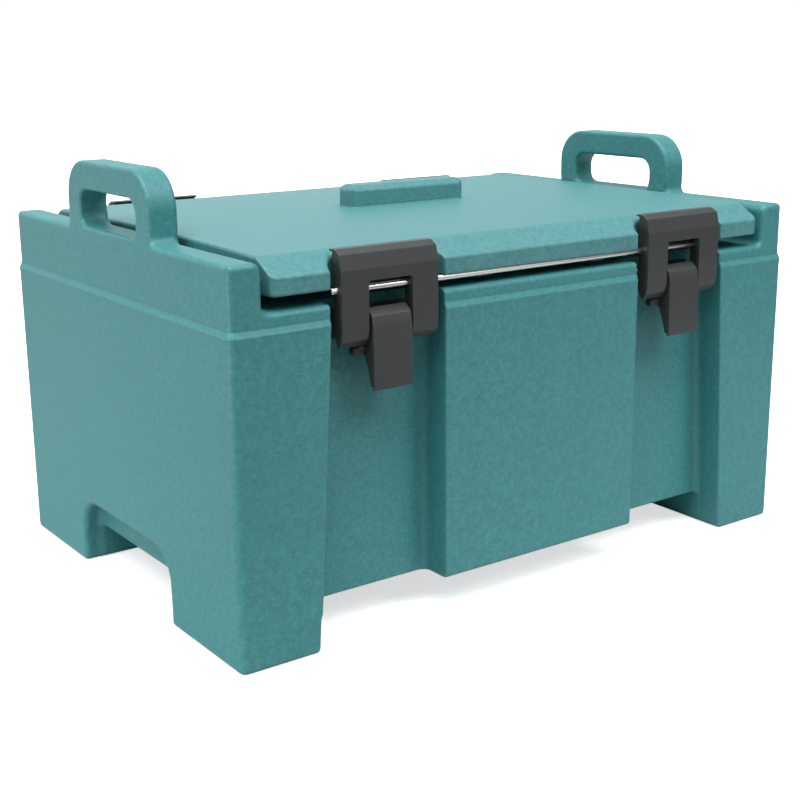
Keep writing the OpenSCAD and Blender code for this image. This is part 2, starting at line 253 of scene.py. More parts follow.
def even_out(p, quads, share):
    """Moves points part of the way to the middle of their neighbours."""
    ends = np.concatenate([quads[:, [0, 1]], quads[:, [1, 2]], quads[:, [2, 3]], quads[:, [3, 0]]])
    near = np.concatenate([ends, ends[:, ::-1]])
    count = np.bincount(near[:, 0], minlength=len(p))[:, None]
    sums = [np.bincount(near[:, 0], weights=p[near[:, 1], i], minlength=len(p)) for i in range(3)]
    return p * (1 - share) + np.stack(sums, 1) / count * share


def moulding(name, shape, xs, ys, zs):
    """One closed soft-edged moulding as a mesh object, with its outward edges and hollows marked for the
    finish's painted highlight and painted shade.
    """
    verts, quads = net_surface(shape, xs, ys, zs)
    verts = settle(shape, verts, 3)
    verts = settle(shape, even_out(verts, quads, 0.5), 3)
    normals = slope(shape, verts)
    normals /= np.maximum(np.linalg.norm(normals, axis=1), 1e-6)[:, None]
    reach = 3.0
    bend = np.zeros(len(verts))
    for i in range(3):
        d = np.zeros(3)
        d[i] = reach
        for q in (verts + d, verts - d):
            bend += shape(q[:, 0], q[:, 1], q[:, 2])
    mesh = bpy.data.meshes.new(name)
    mesh.from_pydata((verts * MM).tolist(), [], quads.tolist())
    mesh.update()
    mesh.shade_smooth()
    mesh.normals_split_custom_set_from_vertices(normals.tolist())
    mark = mesh.attributes.new("edge", "FLOAT", "POINT")
    mark.data.foreach_set("value", np.clip(bend / reach, -1.0, 1.0).astype(np.float32))
    obj = bpy.data.objects.new(name, mesh)
    bpy.context.scene.collection.objects.link(obj)
    return obj


def column_edge(z):
    """Inner edge of the corner columns at each height: they narrow towards the feet."""
    return COLUMN_TOP + (308.0 - z) * 0.0586


def body_shape(sizes):
    """Distance to the body: skin, end walls, handles, feet, recesses and pan cavity."""
    half_l = sizes.half_length / MM
    half_w = sizes.half_width / MM
    rim = sizes.rim_height / MM
    tower = sizes.tower_height / MM
    loop = sizes.handle_height / MM
    r = sizes.edge_round / MM
    inner = half_l - 33.0
    blend_top = tower + 12.0
    foot = 97.0

    def shape(x, y, z):
        ax, ay = np.abs(x), np.abs(y)
        step = 0.2 - 0.2 * ramp(z, 284.0, 290.5) + 2.4 * np.clip((z - 291.2) / 5.3, 0.0, 1.0)
        lean = 0.7 * ramp(z, tower, blend_top)
        plan = blend_in(ax - half_l + step + lean, ay - half_w + step, 7.0 - 2.0 * ramp(z, 290.0, 296.0))
        outline = blend_in(ay - 88.5, z - loop + 0.8, 36.0)
        opening = blend_in(ay - 61.0, np.maximum(z - 387.0, tower + 0.5 - z), 15.0)
        loops = np.maximum(outline, -opening)
        inner_round = 8.5 - 5.0 * ramp(z, tower, blend_top)
        wall = blend_in(blend_join(z - tower, loops, 7.0), inner + 1.5 * lean - ax, inner_round)
        top = blend_join(z - rim, wall, 6.0)
        body = blend_in(plan, top, r - 1.8 * ramp(z, tower + 2.0, blend_top))
        body = blend_in(body, -z, 4.0)
        columns = blend_in(column_edge(z) - ax, foot - ay, 9.0)
        body = blend_in(body, blend_join(35.0 - z, columns, 6.0), 5.0)
        arch = blend_in(blend_in(ay - foot, z - 68.0, 30.0), half_l - 19.0 - ax, 7.0)
        body = blend_cut(body, arch, 6.0)
        recess = blend_in(np.maximum(PANEL_HALF - ax, ax - column_edge(z)), half_w - 33.0 - ay, 8.0)
        body = blend_cut(body, recess, 2.0)
        deep = blend_in(blend_in(ax - 257.0, ay - 155.0, 28.0), 86.0 - z, 14.0)
        ledge = blend_in(blend_in(ax - 272.0, ay - 169.5, 34.0), rim - 12.0 - z, 4.0)
        return blend_cut(body, blend_join(deep, ledge, 3.0), 4.0)

    return shape


def lid_shape(sizes):
    """Distance to the lid: crowned slab, sloping edges, latch recesses, plug and grip bar."""
    half_l = sizes.half_length / MM
    half_w = sizes.half_width / MM
    bar = sizes.bar_height / MM
    crown = sizes.crown / MM

    def shape(x, y, z):
        ax, ay = np.abs(x), np.abs(y)
        across = np.clip(1 - (ay / 206.0) ** 2, -0.3, 1.0)
        along = 1 - 0.4 * np.clip(ax / half_l, 0, 1.05) ** 4
        top = 351.2 + crown * across * along
        lid = blend_in(ax - half_l, ay - half_w, 7.0)
        lid = blend_in(lid, z - top, 3.0)
        lid = blend_in(lid, (ay - half_w) * 0.517 + (z - 336.0) * 0.856, 1.4)
        lid = blend_in(lid, 320.0 - z, 2.5)
        recess = blend_in(np.maximum(PANEL_HALF - ax, ax - COLUMN_TOP), 214.5 - ay, 15.0)
        lid = blend_cut(lid, recess, 1.8)
        plug = blend_in(blend_in(ax - 267.0, ay - 164.5, 30.0), np.maximum(304.0 - z, z - 325.0), 3.5)
        lid = blend_join(lid, plug, 1.5)
        grip = blend_in(blend_in(ax - 71.3, ay - 14.8, 6.0), np.maximum(z - bar, 345.0 - z), 1.5)
        slant = 0.707 * (np.maximum(ax - 71.3, ay - 14.8) + z - bar + 5.5)
        lid = blend_join(lid, blend_in(grip, slant, 1.2), 1.5)
        groove = np.maximum(np.hypot(ay - ROD_Y, z - ROD_Z) - 3.4, ax - 241.0)
        return blend_cut(lid, groove, 0.8)

    return shape


# ---------------------------------------------------------------- crisp parts, millimetres in, metres out

def as_object(name, bm):
    """Makes an object of bm, with its faces turned outwards."""
    mesh = bpy.data.meshes.new(name)
    bmesh.ops.recalc_face_normals(bm, faces=bm.faces)
    bm.to_mesh(mesh)
    bm.free()
    obj = bpy.data.objects.new(name, mesh)
    bpy.context.scene.collection.objects.link(obj)
    return obj


def along_x(a, b, along):
    return along, a, b


def along_y(a, b, along):
    return a, along, b


def prism(name, profile, low, high, lay=along_x):
    """A bar from low to high with a profile of points: (y, z) for a bar along X, (x, z) along Y."""
    bm = bmesh.new()
    rings = []
    for along in (low, high):
        rings.append([bm.verts.new([v * MM for v in lay(a, b, along)]) for a, b in profile])
    bm.faces.new(rings[0])
    bm.faces.new(rings[1][::-1])
    for i in range(len(profile)):
        j = (i + 1) % len(profile)
        bm.faces.new([rings[0][i], rings[0][j], rings[1][j], rings[1][i]])
    return as_object(name, bm)


def turned(name, profile, middle, axis, steps):
    """A turned part: profile of (along, radius) points spun round an axis through middle."""
    spin = Vector((0, 0, 1)).rotation_difference(Vector(axis)).to_matrix()
    centre = Vector(middle)
    bm = bmesh.new()
    rings = []
    for along, radius in profile:
        if radius < 1e-6:
            rings.append([bm.verts.new((centre + spin @ Vector((0, 0, along))) * MM)])
            continue
        ring = []
        for i in range(steps):
            a = 2 * math.pi * i / steps
            point = Vector((radius * math.cos(a), radius * math.sin(a), along))
            ring.append(bm.verts.new((centre + spin @ point) * MM))
        rings.append(ring)
    for one, two in zip(rings, rings[1:]):
        for i in range(steps):
            j = (i + 1) % steps
            if len(one) == 1:
                bm.faces.new([one[0], two[i], two[j]])
            elif len(two) == 1:
                bm.faces.new([one[j], one[i], two[0]])
            else:
                bm.faces.new([one[i], two[i], two[j], one[j]])
    return as_object(name, bm)


def applied(obj):
    """Makes the object's modifiers part of its mesh."""
    graph = bpy.context.evaluated_depsgraph_get()
    final = obj.evaluated_get(graph)
    mesh = bpy.data.meshes.new_from_object(final, preserve_all_data_layers=True, depsgraph=graph)
    old = obj.data
    obj.modifiers.clear()
    obj.data = mesh
    mesh.name = obj.name
    bpy.data.meshes.remove(old)


def cut_with(obj, tool):
    """Cuts the tool out of the object and removes the tool."""
    mod = obj.modifiers.new("cut", "BOOLEAN")
    mod.operation = "DIFFERENCE"
    mod.solver = "EXACT"
    mod.object = tool
    applied(obj)
    bpy.data.objects.remove(tool)


def round_edges(obj, radius, segments, angle):
    """Rounds the edges sharper than an angle and shades the flats flat."""
    mod = obj.modifiers.new("round", "BEVEL")
    mod.width = radius
    mod.segments = segments
    mod.limit_method = "ANGLE"
    mod.angle_limit = math.radians(angle)
    mod.use_clamp_overlap = True
    mod.harden_normals = True
    obj.data.shade_smooth()
    applied(obj)
    return obj


def smooth_by_angle(obj, angle):
    """Shades the object smooth, apart from edges sharper than an angle."""
    obj.data.shade_smooth()
    obj.data.set_sharp_from_angle(angle=math.radians(angle))
    return obj


def merged(name, parts):
    """Joins several objects into one of that name."""
    for part in bpy.context.selected_objects:
        part.select_set(False)
    for part in parts:
        part.select_set(True)
    bpy.context.view_layer.objects.active = parts[0]
    bpy.ops.object.join()
    parts[0].name = name
    parts[0].data.name = name
    parts[0].select_set(False)
    return parts[0]


def at_latch(obj, corner):
    """Moves a latch part made at the front middle to its corner, in its mesh."""
    turn = Matrix.Rotation(math.pi if corner.startswith("rear") else 0.0, 4, "Z")
    low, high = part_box("frame_" + corner)
    shift = Matrix.Translation(((low.x + high.x) / 2, 0, 0))
    obj.data.transform(shift @ turn)
    return obj


def finished(obj, material, body, slot, *nodes):
    """Gives a piece its finish, ties it to its body and hides its CAD nodes; the slot is not used."""
    obj.data.materials.clear()
    obj.data.materials.append(material)
    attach(obj, body)
    if nodes:
        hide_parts(*nodes)
    return obj


# ---------------------------------------------------------------- finishes

class Wiring:
    """Adds and links the nodes of one material or node group."""

    def __init__(self, tree):
        self.tree = tree

    def node(self, kind, **settings):
        made = self.tree.nodes.new(kind)
        for key, value in settings.items():
            setattr(made, key, value)
        return made

    def link(self, source, target):
        self.tree.links.new(source, target)

    def noise(self, vector, scale, detail=3.0, roughness=0.5):
        made = self.node("ShaderNodeTexNoise")
        made.inputs["Detail"].default_value = detail
        made.inputs["Roughness"].default_value = roughness
        self.link(vector, made.inputs["Vector"])
        if isinstance(scale, float):
            made.inputs["Scale"].default_value = scale
        else:
            self.link(scale, made.inputs["Scale"])
        return made.outputs["Fac"]

    def math(self, operation, a, b=None, clamp=False):
        made = self.node("ShaderNodeMath", operation=operation, use_clamp=clamp)
        for socket, value in zip(made.inputs, (a, b)):
            if value is None:
                continue
            if isinstance(value, (int, float)):
                socket.default_value = value
            else:
                self.link(value, socket)
        return made.outputs[0]

    def span(self, value, low, high, to_low, to_high):
        made = self.node("ShaderNodeMapRange")
        ends = (("From Min", low), ("From Max", high), ("To Min", to_low), ("To Max", to_high))
        for socket, number in ends:
            made.inputs[socket].default_value = number
        self.link(value, made.inputs["Value"])
        return made.outputs["Result"]

    def blend(self, share, a, b, kind="MIX"):
        made = self.node("ShaderNodeMix", data_type="RGBA", blend_type=kind)
        for socket, value in ((made.inputs[0], share), (made.inputs[6], a), (made.inputs[7], b)):
            if isinstance(value, (int, float)):
                socket.default_value = value
            elif isinstance(value, tuple):
                socket.default_value = value
            else:
                self.link(value, socket)
        return made.outputs[2]


def new_group(name, inputs, outputs):
    """An empty node group with its named inputs and outputs, and its wiring."""
    group = bpy.data.node_groups.new(name, "ShaderNodeTree")
    for label, kind, value in inputs:
        socket = group.interface.new_socket(name=label, in_out="INPUT", socket_type=kind)
        socket.default_value = value
    for label, kind in outputs:
        group.interface.new_socket(name=label, in_out="OUTPUT", socket_type=kind)
    wires = Wiring(group)
    return group, wires, wires.node("NodeGroupInput"), wires.node("NodeGroupOutput")


def grain_group():
    """Fine moulded grain: a speckle for the colour and a height for the surface."""
    name = "Moulded grain"
    if name in bpy.data.node_groups:
        return bpy.data.node_groups[name]
    group, w, give, take = new_group(
        name,
        [("Grain Size", "NodeSocketFloat", 700.0), ("Ripple Size", "NodeSocketFloat", 60.0)],
        [("Speckle", "NodeSocketFloat"), ("Height", "NodeSocketFloat"), ("Ripple", "NodeSocketFloat")])
    place = w.node("ShaderNodeTexCoord").outputs["Object"]
    fine = w.noise(place, give.outputs["Grain Size"], 4.0, 0.65)
    coarse = w.noise(place, w.math("MULTIPLY", give.outputs["Grain Size"], 0.38), 3.0, 0.6)
    ripple = w.noise(place, give.outputs["Ripple Size"], 2.0, 0.5)
    speckle = w.math("ADD", w.math("MULTIPLY", fine, 0.55), w.math("MULTIPLY", coarse, 0.45))
    height = w.math("ADD", w.math("MULTIPLY", speckle, 0.7), w.math("MULTIPLY", ripple, 0.3))
    w.link(w.span(speckle, 0.36, 0.64, 0.0, 1.0), take.inputs["Speckle"])
    w.link(height, take.inputs["Height"])
    w.link(w.span(ripple, 0.3, 0.7, 0.0, 1.0), take.inputs["Ripple"])
    return group


def edge_group():
    """Painted edge highlight and hollow shade: a mask that is high where the moulding turns outwards, for a
    painted highlight, and one for its hollows, for painted shade.
    """
    name = "Worn edges"
    if name in bpy.data.node_groups:
        return bpy.data.node_groups[name]
    group, w, give, take = new_group(
        name,
        [("Breakup", "NodeSocketFloat", 90.0)],
        [("Edge", "NodeSocketFloat"), ("Hollow", "NodeSocketFloat")])
    mark = w.node("ShaderNodeAttribute", attribute_name="edge").outputs["Fac"]
    place = w.node("ShaderNodeTexCoord").outputs["Object"]
    patchy = w.span(w.noise(place, give.outputs["Breakup"], 3.0, 0.6), 0.3, 0.7, 0.55, 1.0)
    high = w.span(mark, 0.08, 0.55, 0.0, 1.0)
    low = w.span(mark, -0.08, -0.55, 0.0, 1.0)
    w.link(w.math("MULTIPLY", high, patchy), take.inputs["Edge"])
    w.link(low, take.inputs["Hollow"])
    return group


def handling_group():
    """Handling marks: large soft patches and short fine scuffs."""
    name = "Handling marks"
    if name in bpy.data.node_groups:
        return bpy.data.node_groups[name]
    group, w, give, take = new_group(
        name,
        [("Patch Size", "NodeSocketFloat", 6.0), ("Scuff Size", "NodeSocketFloat", 45.0)],
        [("Patches", "NodeSocketFloat"), ("Scuffs", "NodeSocketFloat")])
    place = w.node("ShaderNodeTexCoord").outputs["Object"]
    patches = w.noise(place, give.outputs["Patch Size"], 4.0, 0.55)
    squeeze = w.node("ShaderNodeMapping")
    squeeze.inputs["Scale"].default_value = (1.0, 1.0, 7.0)
    squeeze.inputs["Rotation"].default_value = (0.35, 0.5, 0.8)
    w.link(place, squeeze.inputs["Vector"])
    scuffs = w.noise(squeeze.outputs["Vector"], give.outputs["Scuff Size"], 5.0, 0.7)
    w.link(w.span(patches, 0.3, 0.7, 0.0, 1.0), take.inputs["Patches"])
    w.link(w.span(scuffs, 0.62, 0.8, 0.0, 1.0), take.inputs["Scuffs"])
    return group


def new_finish(name):
    """A material with its wiring and its Principled shader."""
    made = bpy.data.materials.new(name)
    made.use_nodes = True
    wires = Wiring(made.node_tree)
    shader = next(n for n in made.node_tree.nodes if n.type == "BSDF_PRINCIPLED")
    return made, wires, shader


def placed(wires, group, **values):
    """Places a node group in a material with its own values."""
    made = wires.node("ShaderNodeGroup")
    made.node_tree = group
    for label, value in values.items():
        made.inputs[label.replace("_", " ")].default_value = value
    return made


def raise_grain(wires, shader, height, strength, distance):
    """Gives the surface a relief of that height, with its depth in metres."""
    bump = wires.node("ShaderNodeBump")
    bump.inputs["Strength"].default_value = strength
    bump.inputs["Distance"].default_value = distance
    wires.link(height, bump.inputs["Height"])
    wires.link(bump.outputs["Normal"], shader.inputs["Normal"])


def shaded(colour, share):
    """The colour made darker or paler, with its alpha."""
    return tuple(c * share for c in colour) + (1.0,)


def polyethylene(name, colour, grain_size):
    """Matte rotationally moulded skin: speckled grain, soft ripple, paler outward edges as a painted
    highlight and darker hollows as painted shade.
    """
    if name in bpy.data.materials:
        return bpy.data.materials[name]
    made, w, shader = new_finish(name)
    grain = placed(w, grain_group(), Grain_Size=grain_size, Ripple_Size=38.0)
    edge_light_and_shade = placed(w, edge_group(), Breakup=80.0)
    marks = placed(w, handling_group(), Patch_Size=5.0, Scuff_Size=40.0)
    tone = w.blend(grain.outputs["Speckle"], shaded(colour, 0.73), shaded(colour, 1.24))
    tone = w.blend(w.math("MULTIPLY", marks.outputs["Patches"], 0.35), tone, shaded(colour, 0.90))
    pale = tuple(min(1.0, c * 1.35 + 0.02) for c in colour) + (1.0,)
    # Outward edges are painted paler: a painted highlight along the rounded edges.
    tone = w.blend(w.math("MULTIPLY", edge_light_and_shade.outputs["Edge"], 0.08), tone, pale)
    # Hollows are painted darker: painted shade in the creases and recesses.
    tone = w.blend(w.math("MULTIPLY", edge_light_and_shade.outputs["Hollow"], 0.35), tone, shaded(colour, 0.72))
    tone = w.blend(w.math("MULTIPLY", marks.outputs["Scuffs"], 0.10), tone, pale)
    w.link(tone, shader.inputs["Base Color"])
    rough = w.span(grain.outputs["Speckle"], 0.0, 1.0, 0.40, 0.56)
    rough = w.math("SUBTRACT", rough, w.math("MULTIPLY", edge_light_and_shade.outputs["Edge"], 0.08))
    w.link(rough, shader.inputs["Roughness"])
    shader.inputs["IOR"].default_value = 1.5
    raise_grain(w, shader, grain.outputs["Height"], 0.35, 0.0006)
    return made


def nylon(name, colour):
    """Dark glass-filled nylon: satin, with a fine even grain and faint rubbed marks."""
    if name in bpy.data.materials:
        return bpy.data.materials[name]
    made, w, shader = new_finish(name)
    grain = placed(w, grain_group(), Grain_Size=1500.0, Ripple_Size=110.0)
    marks = placed(w, handling_group(), Patch_Size=30.0, Scuff_Size=160.0)
    tone = w.blend(grain.outputs["Speckle"], shaded(colour, 0.90), shaded(colour, 1.12))
    tone = w.blend(w.math("MULTIPLY", marks.outputs["Scuffs"], 0.30), tone, shaded(colour, 1.9))
    tone = w.blend(w.math("MULTIPLY", marks.outputs["Patches"], 0.25), tone, shaded(colour, 0.8))
    w.link(tone, shader.inputs["Base Color"])
    w.link(w.span(grain.outputs["Speckle"], 0.0, 1.0, 0.34, 0.46), shader.inputs["Roughness"])
    raise_grain(w, shader, grain.outputs["Height"], 0.25, 0.0002)
    return made


def stainless(name, colour, stretch):
    """Drawn stainless steel with fine lines along one direction."""
    if name in bpy.data.materials:
        return bpy.data.materials[name]
    made, w, shader = new_finish(name)
    place = w.node("ShaderNodeTexCoord").outputs["Object"]
    along = w.node("ShaderNodeMapping")
    along.inputs["Scale"].default_value = stretch
    w.link(place, along.inputs["Vector"])
    drawn = w.noise(along.outputs["Vector"], 900.0, 4.0, 0.6)
    marks = placed(w, handling_group(), Patch_Size=25.0, Scuff_Size=200.0)
    tone = w.blend(drawn, shaded(colour, 0.86), shaded(colour, 1.08))
    tone = w.blend(w.math("MULTIPLY", marks.outputs["Patches"], 0.3), tone, shaded(colour, 0.82))
    w.link(tone, shader.inputs["Base Color"])
    shader.inputs["Metallic"].default_value = 1.0
    w.link(w.span(drawn, 0.3, 0.7, 0.16, 0.30), shader.inputs["Roughness"])
    raise_grain(w, shader, drawn, 0.15, 0.0001)
    return made


def seal_vinyl():
    """Soft grey seal with a slight bloom."""
    name = "Seal vinyl"
    if name in bpy.data.materials:
        return bpy.data.materials[name]
    made, w, shader = new_finish(name)
    colour = (0.10, 0.105, 0.11)
    grain = placed(w, grain_group(), Grain_Size=900.0, Ripple_Size=90.0)
    marks = placed(w, handling_group(), Patch_Size=14.0, Scuff_Size=80.0)
    tone = w.blend(grain.outputs["Speckle"], shaded(colour, 0.85), shaded(colour, 1.15))
    tone = w.blend(w.math("MULTIPLY", marks.outputs["Patches"], 0.4), tone, shaded(colour, 1.35))
    w.link(tone, shader.inputs["Base Color"])
    w.link(w.span(marks.outputs["Patches"], 0.0, 1.0, 0.5, 0.68), shader.inputs["Roughness"])
    raise_grain(w, shader, grain.outputs["Height"], 0.2, 0.0003)
    return made


def foam_finish():
    """Rigid poured foam with small closed cells."""
    name = "Poured foam"
    if name in bpy.data.materials:
        return bpy.data.materials[name]
    made, w, shader = new_finish(name)
    colour = (0.66, 0.52, 0.26)
    place = w.node("ShaderNodeTexCoord").outputs["Object"]
    cells = w.node("ShaderNodeTexVoronoi")
    cells.inputs["Scale"].default_value = 650.0
    w.link(place, cells.inputs["Vector"])
    depth = w.span(cells.outputs["Distance"], 0.0, 0.8, 0.0, 1.0)
    w.link(w.blend(depth, shaded(colour, 0.6), shaded(colour, 1.05)), shader.inputs["Base Color"])
    w.link(w.span(depth, 0.0, 1.0, 0.75, 0.95), shader.inputs["Roughness"])
    raise_grain(w, shader, depth, 0.5, 0.0008)
    return made


def floor_finish(colour):
    """Plain pale studio floor. It throws back less light from before the left end and past the right end."""
    made, w, shader = new_finish("Studio floor")
    place = w.node("ShaderNodeTexCoord").outputs["Object"]
    soft = w.noise(place, 3.0, 2.0, 0.5)
    seen = w.blend(soft, shaded(colour, 0.995), shaded(colour, 1.005))
    spot = w.node("ShaderNodeSeparateXYZ")
    w.link(place, spot.inputs[0])
    left = w.math("MULTIPLY", spot.outputs["X"], -0.8)
    before = w.math("ADD", left, w.math("MULTIPLY", spot.outputs["Y"], -0.6))
    past = w.span(spot.outputs["X"], 0.9, 1.7, 0.3, 0.9)
    dim = w.math("MAXIMUM", w.span(before, 0.2, 0.7, 0.3, 0.85), past)
    path = w.node("ShaderNodeLightPath")
    thrown = w.blend(dim, seen, (0.0, 0.0, 0.0, 1.0))
    w.link(w.blend(path.outputs["Is Camera Ray"], thrown, seen), shader.inputs["Base Color"])
    shader.inputs["Emission Color"].default_value = (1, 1, 1, 1)
    w.link(w.math("MULTIPLY", path.outputs["Is Camera Ray"], 0.65), shader.inputs["Emission Strength"])
    shader.inputs["Roughness"].default_value = 0.9
    shader.inputs["Specular IOR Level"].default_value = 0.1
    return made


# ---------------------------------------------------------------- the pieces

def body_lines():
    """Grid lines for the body, close together where its edges are."""
    xs = mirrored(grid_lines(0, (112, 9), (128, 1.8), (234, 9), (246, 1.8), (276, 2.4), (298, 4), (314, 1.7),
                             (326, 2.2), (338, 1.2)))
    ys = mirrored(grid_lines(0, (48, 7), (72, 1.9), (80, 2.6), (102, 2.0), (146, 7), (174, 2.4), (192, 5),
                             (214, 1.9), (226, 3), (235, 1.2)))
    zs = grid_lines(-3, (9, 1.5), (27, 4), (44, 1.8), (74, 3), (84, 3), (104, 3), (280, 10), (300, 1.3),
                    (316, 1.4), (338, 4.4), (360, 1.5), (378, 2.6), (418, 1.8))
    return xs, ys, zs


def lid_lines():
    """Grid lines for the lid, close together where its edges are."""
    xs = mirrored(grid_lines(0, (62, 7.5), (73, 1.0), (112, 6), (128, 1.3), (232, 8), (246, 1.3), (262, 4),
                             (284, 3), (290, 2), (299, 0.9)))
    ys = mirrored(grid_lines(0, (9, 3), (18, 0.8), (120, 7), (166, 3.2), (198, 5), (216, 1.3), (232, 1.0)))
    zs = grid_lines(301, (308, 1.0), (317, 3), (324, 0.9), (334, 2), (340, 1.0), (346, 1.5), (358, 0.7),
                    (368, 1.6), (381, 0.8))
    return xs, ys, zs


class CARRIER_OT_body(bpy.types.Operator):
    """Moulds the body in one skin: walls, feet, handles, latch recesses and pan cavity."""
    bl_idname = "carrier.body"
    bl_label = "Body Skin"

    def execute(self, context):
        scene = context.scene
        skin = moulding("body_skin", body_shape(scene.carrier_body), *body_lines())
        finish = polyethylene("Body polyethylene", tuple(scene.carrier_finish.skin_colour), 540.0)
        finished(skin, finish, "body", "shell", "body_shell", "body_liner", "end_wall_left",
                 "end_wall_right", "handle_left", "handle_right")
        return {"FINISHED"}


class CARRIER_OT_lid(bpy.types.Operator):
    """Moulds the lid: crowned top, sloping edges, latch recesses, plug and grip bar."""
    bl_idname = "carrier.lid"
    bl_label = "Lid Skin"

    def execute(self, context):
        scene = context.scene
        skin = moulding("lid_skin", lid_shape(scene.carrier_lid), *lid_lines())
        finish = polyethylene("Lid polyethylene", tuple(scene.carrier_finish.lid_colour), 520.0)
        finished(skin, finish, "lid", "lid", "lid_shell")
        return {"FINISHED"}


class CARRIER_OT_seal(bpy.types.Operator):
    """Lays the ribbed seal round the lid's plug."""
    bl_idname = "carrier.seal"
    bl_label = "Seal"

    def execute(self, context):
        low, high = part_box("lid_gasket")
        bottom, top = low.z / MM, high.z / MM
        half, corner, steps = 7.7, 37.0, 16
        inset = half + 0.3 + corner
        rib = [(half, top - 0.1), (half, bottom + 2.4), (half - 1.2, bottom + 1.0),
               (half - 3.0, bottom + 0.1), (half - 4.8, bottom + 1.0), (half - 5.7, bottom + 2.6)]
        profile = [(-off, z) for off, z in rib] + [(0.0, bottom + 3.4)] + rib[::-1]
        bm = bmesh.new()
        rings = []
        for quarter, (sx, sy) in enumerate(((1, 1), (-1, 1), (-1, -1), (1, -1))):
            middle = Vector((sx * (high.x / MM - inset), sy * (high.y / MM - inset), 0))
            for i in range(steps + 1):
                turn = math.pi / 2 * (quarter + i / steps)
                out = Vector((math.cos(turn), math.sin(turn), 0))
                ring = [middle + out * (corner + off) + Vector((0, 0, z)) for off, z in profile]
                rings.append([bm.verts.new(point * MM) for point in ring])
        for i, ring in enumerate(rings):
            other = rings[(i + 1) % len(rings)]
            for k in range(len(profile)):
                m = (k + 1) % len(profile)
                bm.faces.new([ring[k], ring[m], other[m], other[k]])
        seal = smooth_by_angle(as_object("seal_ring", bm), 50)
        finished(seal, seal_vinyl(), "lid", "gasket", "lid_gasket")
        return {"FINISHED"}


class CARRIER_OT_rods(bpy.types.Operator):
    """Makes the two stainless rods under the lid's edges and the clips that hold them."""
    bl_idname = "carrier.rods"
    bl_label = "Rods and Clips"

    def execute(self, context):
        colours = context.scene.carrier_finish
        drawn = stainless("Drawn stainless", tuple(colours.steel_colour), (0.03, 1.0, 1.0))
        for node in ("rod_front", "rod_rear"):
            low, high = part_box(node)
            radius = (high.z - low.z) / 2 / MM
            half = (high.x - low.x) / 2 / MM
            end = [(half - 0.9, radius), (half - 0.3, radius - 0.3), (half, radius - 0.9), (half, 0)]
            profile = [(-along, r) for along, r in end[::-1]] + end
            rod = turned(node + "_bar", profile, (low + high) / 2 / MM, (1, 0, 0), 40)
            finished(smooth_by_angle(rod, 50), drawn, "lid", "steel", node)
        hook = [(ROD_Y - 3.1 * math.cos(math.radians(v)), ROD_Z + 3.1 * math.sin(math.radians(v)))
                for v in (350, 330, 310, 290, 275)]
        profile = [(211.2, 313.4), (211.2, 319.9), (220.2, 319.9), (221.8, 318.6), *hook,
                   (224.7, 314), (223, 313.4)]
        clips = []
        for side in (-1, 1):
            for x in (-70.0, 70.0):
                clip = prism("clip", [(y * side, z) for y, z in profile], x - 8.8, x + 8.8)
                clips.append(round_edges(clip, 0.0004, 2, 28))
        clip_nylon = nylon("Clip nylon", tuple(colours.nylon_colour))
        finished(merged("rod_clip_set", clips), clip_nylon, "lid", "nylon", "rod_clips")
        return {"FINISHED"}


def latch_frame(corner, radius):
    """Latch frame: folded plate with a window between two legs, and ribs down the legs' sides."""
    face = [(-215.6, 352.8), (-223.8, 352.8), (-230.8, 349.0), (-234, 335.5), (-234, 283.5), (-232.2, 274.6),
            (-227.2, 268.7), (-224.6, 269.6), (-228.4, 275.4), (-230.2, 284), (-230.2, 335.2),
            (-227.4, 346.6), (-222.6, 350.1), (-215.6, 350.9)]
    plate = prism("plate", face, -50.5, 50.5)
    side = [(22.7, 255), (22.7, 322.4), (21.9, 324.2), (20.2, 325)]
    hole = [(-22.7, 255)] + side + [(-x, z) for x, z in side[:0:-1]]
    cut_with(plate, prism("hole", hole, -245, -222, along_y))
    parts = [round_edges(plate, radius, 2, 12)]
    rib = [(-219.2, 351.4), (-223.6, 351.4), (-229.6, 348.2), (-232.8, 335.5), (-233.2, 283.5),
           (-231.4, 275), (-226.4, 270.4), (-222.4, 272.2), (-220.4, 282), (-220.4, 312), (-218.4, 321.5),
           (-217.4, 343)]
    for x0, x1 in ((-49.6, -47.0), (-26.6, -23.6), (23.6, 26.6), (47.0, 49.6)):
        parts.append(round_edges(prism("rib", rib, x0, x1), radius * 0.8, 2, 20))
    return at_latch(merged("latch_frame_" + corner, parts), corner)


def latch_lever(corner, radius):
    """Latch lever: face with a finger lip, two side ribs, its barrel and its bar that hooks the keeper."""
    face = [(-226.2, 300.9), (-230, 298.3), (-234, 294.4), (-235.4, 289), (-236, 285), (-236.6, 250),
            (-236.9, 233), (-236.3, 229.1), (-233.6, 229.1), (-232.6, 246), (-230.6, 283), (-224, 284.3),
            (-219.2, 287.2), (-218.2, 293.8), (-221, 298)]
    parts = [round_edges(prism("plate", face, -20.45, 20.45), radius, 2, 12)]
    rib = [(-234.6, 290), (-235.4, 262), (-236.0, 231.5), (-230.5, 231.5), (-226.5, 245), (-221.5, 257),
           (-216.5, 259.6), (-213.6, 263.0), (-216.5, 266.6), (-221.5, 272), (-222.5, 288)]
    for x0, x1 in ((-20.0, -17.0), (17.0, 20.0)):
        parts.append(round_edges(prism("rib", rib, x0, x1), radius * 0.8, 2, 20))
    bar = [(-30.9, 0), (-30.9, 3.4), (-30.1, 4.2), (30.1, 4.2), (30.9, 3.4), (30.9, 0)]
    parts.append(turned("hook", bar, (0, -217, 262.6), (1, 0, 0), 36))
    for x0, x1 in ((-17.2, -15.2), (15.2, 17.2)):
        parts.append(turned("barrel", [(x0, 0), (x0, 5.2), (x1, 5.2), (x1, 0)], PIN_MIDDLE, (1, 0, 0), 30))
    for part in parts[3:]:
        smooth_by_angle(part, 50)
    return at_latch(merged("latch_lever_" + corner, parts), corner)


